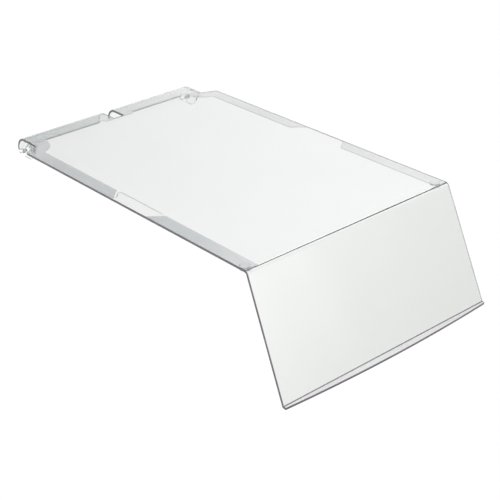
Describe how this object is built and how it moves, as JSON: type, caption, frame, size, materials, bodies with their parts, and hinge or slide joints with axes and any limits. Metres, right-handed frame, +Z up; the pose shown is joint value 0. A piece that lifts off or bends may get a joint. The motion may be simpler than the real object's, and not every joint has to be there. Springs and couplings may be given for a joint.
{
  "type": "hinged sneeze guard",
  "caption": "Clear moulded food guard with a level top, a leaning front shield with a lip, and a rear hook that swings on pivot pins.",
  "frame": {"origin": "middle of the hinge axis, half way between the two pivot pins", "axes": "+X to the right for someone who faces the front shield, +Y to the rear, +Z up, with the guard closed and its top level"},
  "size_m": [0.3336, 0.5767, 0.1481],
  "materials": {
    "clear_sheet": "clear and polished, with frosted border bands",
    "clear_fitting": "clear and polished",
    "clear_pad": "clear and soft"
  },
  "bodies": {
    "pivots": {"hinge_pin_left": "clear_fitting", "hinge_pin_right": "clear_fitting"},
    "guard": {"guard_panel": "clear_sheet", "hinge_ear_left": "clear_fitting", "hinge_ear_right": "clear_fitting", "rest_pad_left": "clear_pad", "rest_pad_right": "clear_pad"}
  },
  "joints": [
    {"name": "guard_hinge", "type": "hinge", "parent": "pivots", "child": "guard", "pos_m": [0, 0, 0], "axis": [-1, 0, 0], "range_deg": [0, 105]}
  ]
}
